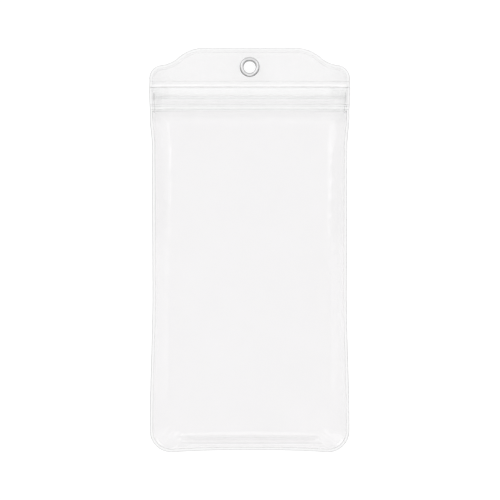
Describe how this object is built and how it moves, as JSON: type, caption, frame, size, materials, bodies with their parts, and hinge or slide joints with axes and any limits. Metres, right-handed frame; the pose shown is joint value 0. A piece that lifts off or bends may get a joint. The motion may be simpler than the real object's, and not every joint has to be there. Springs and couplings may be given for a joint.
{
  "type": "pvc phone pouch",
  "caption": "Clear PVC phone pouch with a welded pocket, a press-to-close zip under the mouth's lip and a shaped header with a metal eyelet, lying on its back.",
  "frame": {"origin": "under the middle of the pouch, on the surface that it lies on", "axes": "+X to the right of the front, +Y along the pouch towards the header, +Z out of the front face"},
  "size_m": [0.1052, 0.2102, 0.0103],
  "materials": {
    "back_film": "clear flexible PVC film, glossy",
    "header_film": "clear flexible PVC film, glossy",
    "front_film": "clear flexible PVC film, glossy",
    "zip_plastic": "clear extruded PVC, satin",
    "eyelet_metal": "polished nickel plate"
  },
  "bodies": {
    "root": {"back_sheet": "back_film", "header_sheet": "header_film", "front_sheet": "front_film", "zip_groove_strip": "zip_plastic", "zip_rib_strip": "zip_plastic", "eyelet": "eyelet_metal", "eyelet_washer": "eyelet_metal"}
  },
  "joints": []
}
